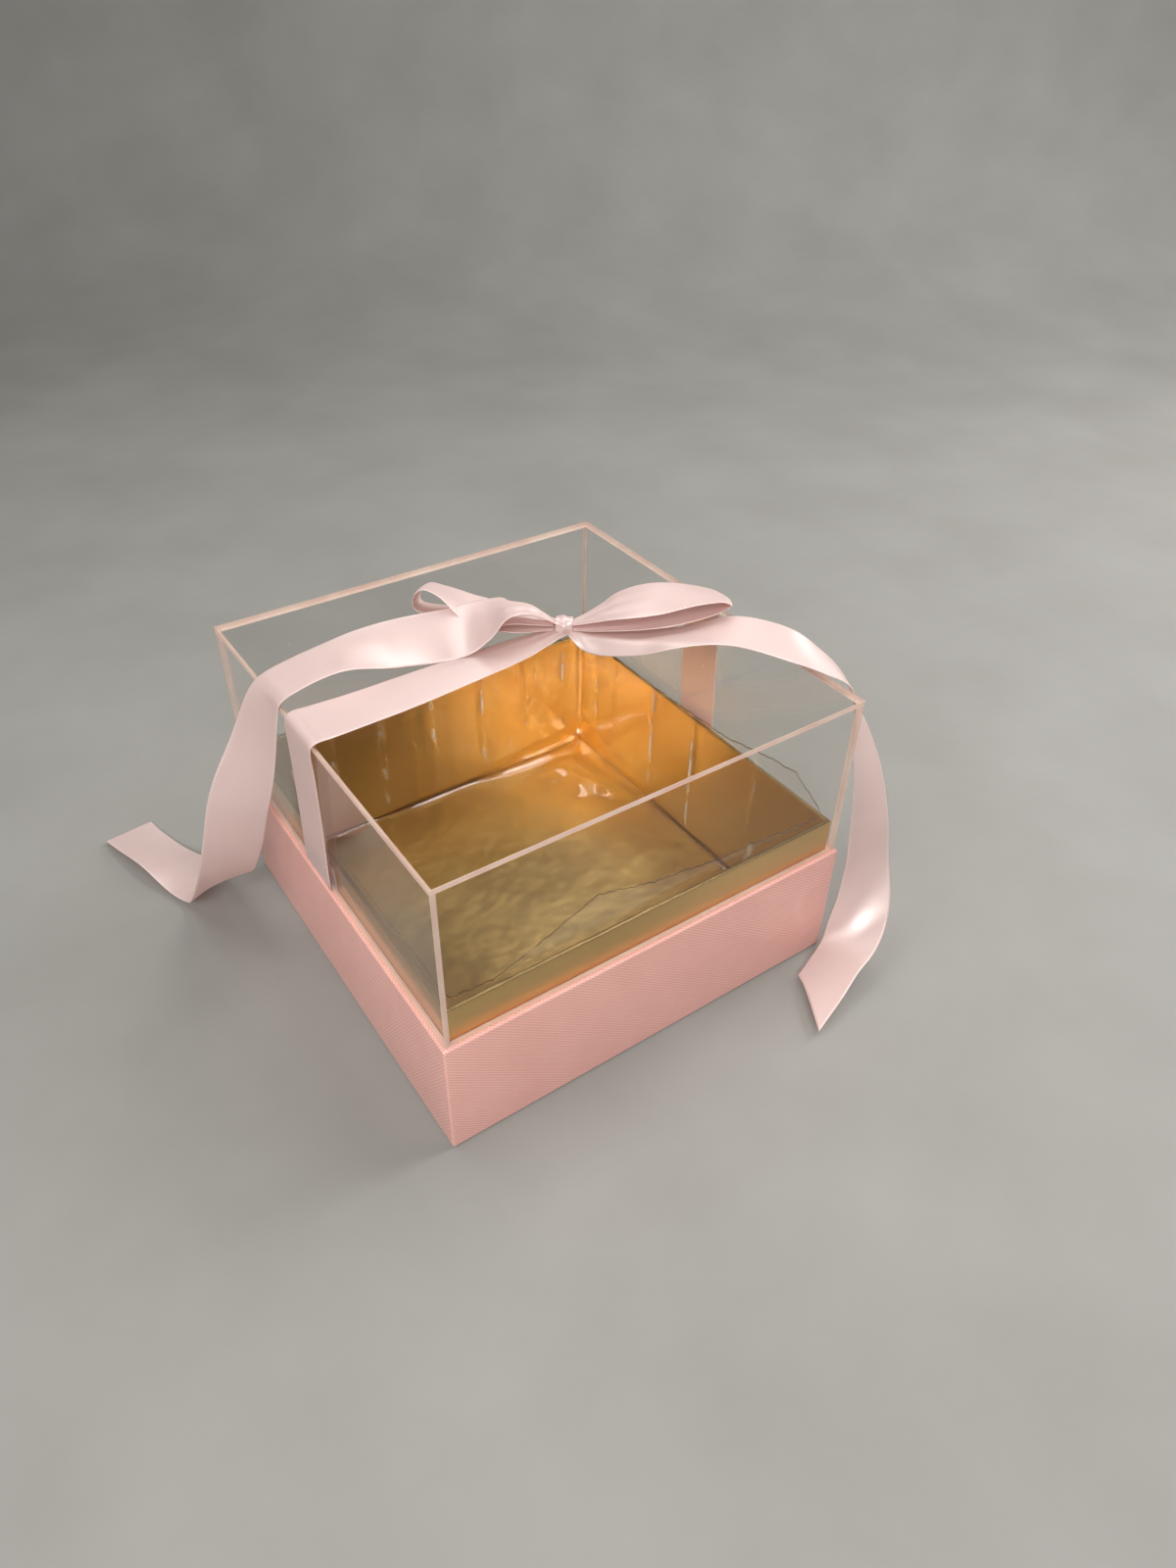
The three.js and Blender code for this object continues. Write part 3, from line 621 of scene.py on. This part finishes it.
join(satin, crosswise.outputs["Tangent"], shader.inputs["Tangent"])
warp = relief(satin, threads, 0.05, 0.00004)
join(satin, relief(satin, beads, 0.5, 0.00025, warp), shader.inputs["Normal"])
glow = add_node(satin, "ShaderNodeBsdfTranslucent", {"Color": (0.95, 0.66, 0.61, 1.0)}).outputs["BSDF"]
show(satin, mixed(satin, 0.36, shader.outputs["BSDF"], glow))


# Left tail: one loose end of the satin, tied in the knot only. It arches up, dips on the lid, runs out over
# the left edge, hangs down with a slow twist and lies on the table.
tail_left, length = satin_strip(
    "tail_left",
    [
        [19.4, 7.6, 150.2, 72, -8, 0.26, 40, 0, 0, 20],
        [14.5, 8.6, 154.4, 68, -10, 0.42, 40, 0, 0, 26],
        [7.5, 10.6, 159.6, 64, -14, 0.72, 40, 0, 0, 16],
        [-0.5, 14, 160.6, 64, -10, 0.95, 30, 0, 0, 5],
        [-8.5, 18.6, 155.2, 67, 12, 1, 20, 0, 0, 0],
        [-18, 24, 149.4, 72, 27, 1, 8, 0, 0, 0],
        [-46, 31.6, 148.2, 79, 20, 1, 0, 0, 0, 0],
        [-70, 34.2, 149, 82, -1, 1, 0, 0, 0, 0],
        [-87, 36, 145.6, 84, -3, 1, 0, 0, 0, 0],
        [-97.2, 36.4, 142.1, 86, -1, 1, 0, 0, 0, 0],
        [-101, 36.8, 136.6, 94, 3, 1, 0, 0, 0, 0],
        [-109.8, 38, 113, 114, 13, 1, 0, 0, 0, 0],
        [-119, 41.5, 88, 144, 18, 1, 0, 0, 0, 0],
        [-124, 46.5, 64.5, 162, 15, 1, 0, 0, 0, 0],
        [-128, 56, 42, 174, 11, 1, 0, 0, 0, 0],
        [-129.5, 72, 24, 188, 1, 1, 0, 0, 0, 0],
        [-131.5, 91.5, 9.2, 200, -15, 1, 0, 0, 0, 0],
        [-135, 103, 6.2, 198, -14, 1, 0, 0, 0, 0],
        [-141.5, 126, 5, 193, 9, 1, 0, 0, 0, 0],
        [-148, 150, 2.7, 185, 7, 1, 0, 0, 0, 0],
        [-150.5, 162, 1.4, 180, 2, 1, 0, 0, 0, 0],
    ],
)
hang(tail_left, "bow_tail_left")


# Right tail: the other loose end. It is folded like a roof where it leaves the knot, arches to the right
# front corner, hangs beside it and ends on the table in a slanting cut.
tail_right, length = satin_strip(
    "tail_right",
    [
        [24.8, 3.0, 147.4, 46, -3, 0.36, 40, -1, 20, 16],
        [29.5, -2.8, 146.6, 45, -4, 0.75, 25, -3, 55, 8],
        [35, -10, 147.8, 45, -9, 0.95, 15, -4, 75, 2],
        [44.5, -22.5, 149.8, 46, -12, 0.95, 8, -6, 75, 0],
        [53.5, -32, 152.2, 45, -13, 0.98, 4, -9, 50, 0],
        [71, -48, 156.5, 47, -1, 1, 0, -12, 10, 0],
        [88.4, -64, 152, 47, 2, 1, 0, -12, 0, 0],
        [97.5, -72.3, 146.5, 52, -5, 1, 0, 0, 0, 0],
        [106.5, -79.5, 138.5, 57, -11, 1, 0, 0, 0, 0],
        [112, -87, 116, 36, -4, 1, 0, 0, 0, 0],
        [115.5, -95, 92, 17, 1, 1, 0, 0, 0, 0],
        [116.5, -101, 68, 2, 2, 1, 0, 0, 0, 0],
        [116, -105.5, 45, -10, 1, 1, 0, 0, 0, 0],
        [110.5, -112.2, 28.4, -32, 6, 1, 0, 0, 0, 0],
        [98.8, -117.4, 14.6, -57, 20, 1, 0, 0, 0, 0],
        [88, -120.2, 9.4, -65, 20, 1, 0, 0, 0, 0],
        [75, -124.2, 5.6, -67, 15, 1, 0, 0, 0, 0],
        [57, -129, 2.4, -67, 8, 1, 0, 0, 0, 0],
    ],
    slant=0.072,
)
hang(tail_right, "bow_tail_right")


# Right loop: a flat loop of the same satin, pleated where the knot grips it. It rises from the knot, turns
# back in a tight end and returns under itself.
loop_right, length = satin_strip(
    "loop_right",
    [
        [25.2, 3.2, 150.0, 56, -10, 0.32, 30, 0, 0, 30],
        [30, -1, 152.8, 60, -10, 0.58, 30, 0, 0, 30],
        [35, -5.3, 156.3, 61, -8, 0.82, 25, 0, 0, 22],
        [41, -8.8, 159.6, 62, -3, 1, 22, 0, 0, 10],
        [53.5, -15, 162, 64, 3, 1, 16, 0, 0, 0],
        [69, -22.6, 162.8, 63, -8, 1, 12, 0, 0, 0],
        [80, -29.2, 161.2, 57, -18, 1, 12, 0, 0, 0],
        [82.8, -30.8, 158.8, 57, -19, 1, 22, 0, 0, 0],
        [79.6, -29.2, 156.4, 57, -19, 1, 10, 0, 0, 0],
        [67, -23, 154.2, 60, -13, 1, 0, 0, 0, 0],
        [56, -17.6, 152.8, 58, -10, 1, 0, 0, 0, 0],
        [46, -11.6, 152, 58, -10, 1, 0, 0, 0, 6],
        [37, -5.6, 150.8, 58, -11, 0.85, 0, 0, 0, 16],
        [30.5, -1, 149.2, 57, -11, 0.58, 0, 0, 0, 26],
        [25.2, 3, 148.2, 55, -10, 0.32, 0, 0, 0, 30],
    ],
    square=False,
)
hang(loop_right, "bow_loop_right")


# Left loop: a second loop of the same satin, pleated into the knot's other side. It passes under the left
# tail, low by the knot, and behind it its end stands open.
loop_left, length = satin_strip(
    "loop_left",
    [
        [19.4, 8, 149.2, 46, -6, 0.3, 0, 0, 0, 24],
        [13.5, 13, 149.9, 46, -8, 0.55, 0, 0, 0, 24],
        [8.5, 17.8, 150.6, 47, -10, 0.8, 0, 0, 0, 14],
        [3, 25, 150.2, 48, -6, 1, 0, 0, 0, 4],
        [-5.3, 36.2, 150.6, 51, -2, 1, 2, 0, 0, 0],
        [-13, 46.4, 156.7, 54, -18, 1, 6, 0, 0, 0],
        [-18.2, 52.2, 158, 56, -21, 1, 6, 0, 0, 0],
        [-21.3, 55.3, 154.2, 56, -22, 1, 10, 0, 0, 0],
        [-21.2, 55.8, 147.8, 56, -21, 1, 6, 0, 0, 0],
        [-12, 46, 145.9, 54, -18, 1, 4, 0, 0, 0],
        [-3, 34.5, 145.6, 51, -16, 1, 0, 0, 0, 0],
        [4, 24, 146, 48, -14, 0.9, 0, 0, 0, 4],
        [9.5, 17, 146.6, 47, -12, 0.7, 0, 0, 0, 14],
        [14, 12.6, 147.2, 46, -10, 0.5, 0, 0, 0, 24],
        [19.4, 8, 147.6, 46, -6, 0.3, 0, 0, 0, 24],
    ],
    square=False,
)
hang(loop_left, "bow_loop_left")


# Band: the length over the lid. It is stuck inside the lower edges of the left and right walls, hugs the lid,
# leans a little on each wall and is drawn in under the knot.
band, length = satin_strip(
    "band",
    [
        [-96.4, 12.5, 71.5, 90, 0, 1, 0, 0, 0, 0],
        [-96.4, 12.5, 61.5, 90, 0, 1, 0, 0, 0, 0],
        [-96.7, 12.5, 60.3, 90, 0, 1, 0, 0, 0, 0],
        [-98.5, 12.5, 60.3, 90, 0, 1, 0, 0, 0, 0],
        [-98.85, 12.5, 61.5, 90, 0, 1, 0, 0, 0, 0],
        [-98.9, 9.5, 100, 90, 0, 1, 0, 0, 0, 0],
        [-99.4, 6.6, 128, 90, 0, 1, 0, 0, 0, 0],
        [-99.7, 5.9, 137, 90, 0, 1, 0, 0, 0, 0],
        [-99, 5.7, 140.2, 90, 0, 1, 0, 0, 0, 0],
        [-96.4, 5.6, 141.6, 90, 0, 1, 0, 0, 0, 0],
        [-90, 5.6, 141.5, 90, 0, 0.99, 0, 0, 0, 0],
        [-75, 6.2, 141, 91, 0, 0.94, 0, 0, 0, 0],
        [-55, 6.9, 141, 92, 0, 0.88, 2, 7, 2, 0],
        [-30, 7.4, 142, 94, -4, 0.77, 4, 6, 9, 0],
        [0, 7.4, 143.6, 97, -10, 0.6, 4, 5.5, 20, 0],
        [13, 6.8, 145.2, 96, -12, 0.43, 8, 4, 24, 8],
        [22.4, 5.4, 146.6, 92, 8, 0.34, 16, 0, 0, 24],
        [32, 5.2, 145, 90, 0, 0.5, 10, 0, 0, 24],
        [45, 5.2, 143, 90, 0, 0.66, 6, 0, 0, 16],
        [65, 5.2, 141.4, 90, 0, 0.86, 0, 0, 0, 6],
        [94, 5, 140.8, 90, 0, 1, 0, 0, 0, 0],
        [98.2, 4.9, 140.75, 90, 0, 1, 0, 0, 0, 0],
        [98.8, 4.9, 140.3, 90, 0, 1, 0, 0, 0, 0],
        [98.85, 4.8, 138.5, 90, 0, 1, 0, 0, 0, 0],
        [98.85, 2.5, 100, 90, 0, 1, 0, 0, 0, 0],
        [98.85, 0.5, 61.5, 90, 0, 1, 0, 0, 0, 0],
        [98.5, 0.5, 60.3, 90, 0, 1, 0, 0, 0, 0],
        [96.7, 0.5, 60.3, 90, 0, 1, 0, 0, 0, 0],
        [96.4, 0.5, 61.5, 90, 0, 1, 0, 0, 0, 0],
        [96.4, 0.5, 71.5, 90, 0, 1, 0, 0, 0, 0],
    ],
    per_stop=8,
)
hang(band, "ribbon_band")


# Knot: the ribbon's own width, gathered and wound once round the bow's middle and pulled tight. It makes a
# short lumpy barrel with rounded ends, and hides where the loops and tails come together.
KNOT = np.array([22.4, 5.2, 148.7])
KNOT_TURN = np.radians(-38)
KNOT_HALF = 3.7
KNOT_RADIUS = 4.1
KNOT_TAPER = 0.9
KNOT_END = 0.03
KNOT_MAP = (0.0055, 0.0056)


def knot_barrel():
    """Points of the knot round its axis and along it, and its map.

    Its radius falls off with the square of the way from the middle, and near each end with the root of what
    is left. Low cosine and sine waves along it and round it make the lumps.
    """
    around = np.linspace(0, 2 * np.pi, 49)[:, None]
    share = np.linspace(-1, 1, 61)[None]
    barrel = KNOT_RADIUS - KNOT_TAPER * share**2 + 0.2 * np.cos(share * 6.0 + 0.5)
    barrel = barrel * np.sqrt(np.clip((1 - np.abs(share)) / KNOT_END, 0, 1))
    lump = 1 + 0.05 * np.cos(2 * around + 3 * share) + 0.03 * np.sin(5 * around - 4 * share)
    radius = (barrel * lump)[..., None]
    axis = np.array([np.cos(KNOT_TURN), np.sin(KNOT_TURN), 0])
    level = np.array([-np.sin(KNOT_TURN), np.cos(KNOT_TURN), 0])
    points = KNOT + KNOT_HALF * share[..., None] * axis
    points = points + radius * np.cos(around)[..., None] * level
    points = points + radius * np.sin(around)[..., None] * np.array([0, 0, 1])
    return points / 1000, np.stack(np.broadcast_arrays(share * KNOT_MAP[0], around * KNOT_MAP[1]), axis=-1)


points, uv = knot_barrel()
knot = surface("knot", points[::-1], uv)
merge_seams(knot)
knot.data.materials.append(satin)
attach(knot, "lid")
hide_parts("bow_knot")


# Table and light: a plain pale floor that curves up into a wall all round, nearest behind the box.
# Six soft lamps hang above and beside the box, and a dim pale room fills the shadows.
WALL_AWAY = 2.4
WALL_DRAWN_IN = 1.1
WALL_NEAREST_AT = np.radians(54.6)
WALL_HEIGHT = 3.0
WALL_CURVE = 0.5
LAMP_COLOUR = (1.0, 0.985, 0.96)
LID_MIDDLE = (0.0, 0.0, 0.08)
TRAY_MIDDLE = (0.0, 0.0, 0.05)


def soft_lamp(name, place, aim, width, depth, power):
    """An area lamp at a place, turned to face the aim, with its width as near to X as that allows."""
    lamp = bpy.data.lights.new(name, "AREA")
    lamp.shape, lamp.size, lamp.size_y = "RECTANGLE", width, depth
    lamp.energy, lamp.color = power, LAMP_COLOUR
    back = np.subtract(place, aim) / np.linalg.norm(np.subtract(place, aim))
    right = np.array([1.0, 0.0, 0.0]) - back[0] * back
    right /= np.linalg.norm(right)
    stand(bpy.data.objects.new(name, lamp), right, np.cross(back, right), back, place)


sweep = rounded_profile([[-1.0, 0.0], [0.0, 0.0], [0.0, WALL_HEIGHT]], WALL_CURVE, 24)
bearing = np.linspace(0, 2 * np.pi, 97)[:, None]
wall = WALL_AWAY - WALL_DRAWN_IN * (0.5 + 0.5 * np.cos(bearing - WALL_NEAREST_AT)) ** 3
reach = wall + sweep[None, :, 0]
reach[:, 0] = 0.0
height = np.broadcast_to(sweep[:, 1], reach.shape)
points = np.stack([reach * np.cos(bearing), reach * np.sin(bearing), height], axis=-1)
table = surface("table", points, points[..., :2])
merge_seams(table)
pale, shader = new_finish("pale_table")
clouds = speckle(pale, object_place(pale), 9.0, 5.0)
join(pale, ramp(pale, clouds, (0.225, 0.221, 0.207), (0.26, 0.256, 0.242)), shader.inputs["Base Color"])
shader.inputs["Roughness"].default_value = 0.7
table.data.materials.append(pale)

soft_lamp("ceiling_lamp", (-0.32, 0.32, 1.25), LID_MIDDLE, 0.7, 0.6, 4.8)
soft_lamp("back_lamp", (0.55, 0.38, 1.2), LID_MIDDLE, 0.5, 0.45, 3.3)
soft_lamp("right_lamp", (0.52, -0.14, 1.2), LID_MIDDLE, 0.45, 0.4, 4.6)
soft_lamp("left_lamp", (-1.25, -0.1, 0.8), TRAY_MIDDLE, 0.6, 0.6, 4.5)
soft_lamp("front_lamp", (-0.7, -1.0, 1.0), TRAY_MIDDLE, 0.6, 0.6, 20.0)
soft_lamp("side_lamp", (1.25, -0.1, 0.8), TRAY_MIDDLE, 0.6, 0.6, 13.0)
room = bpy.data.worlds.new("room")
room.use_nodes = True
room.node_tree.nodes["Background"].inputs["Color"].default_value = (0.80, 0.80, 0.79, 1)
room.node_tree.nodes["Background"].inputs["Strength"].default_value = 0.12
bpy.context.scene.world = room
bpy.context.scene.view_settings.view_transform = "Standard"
bpy.context.scene.cycles.transparent_max_bounces = 24
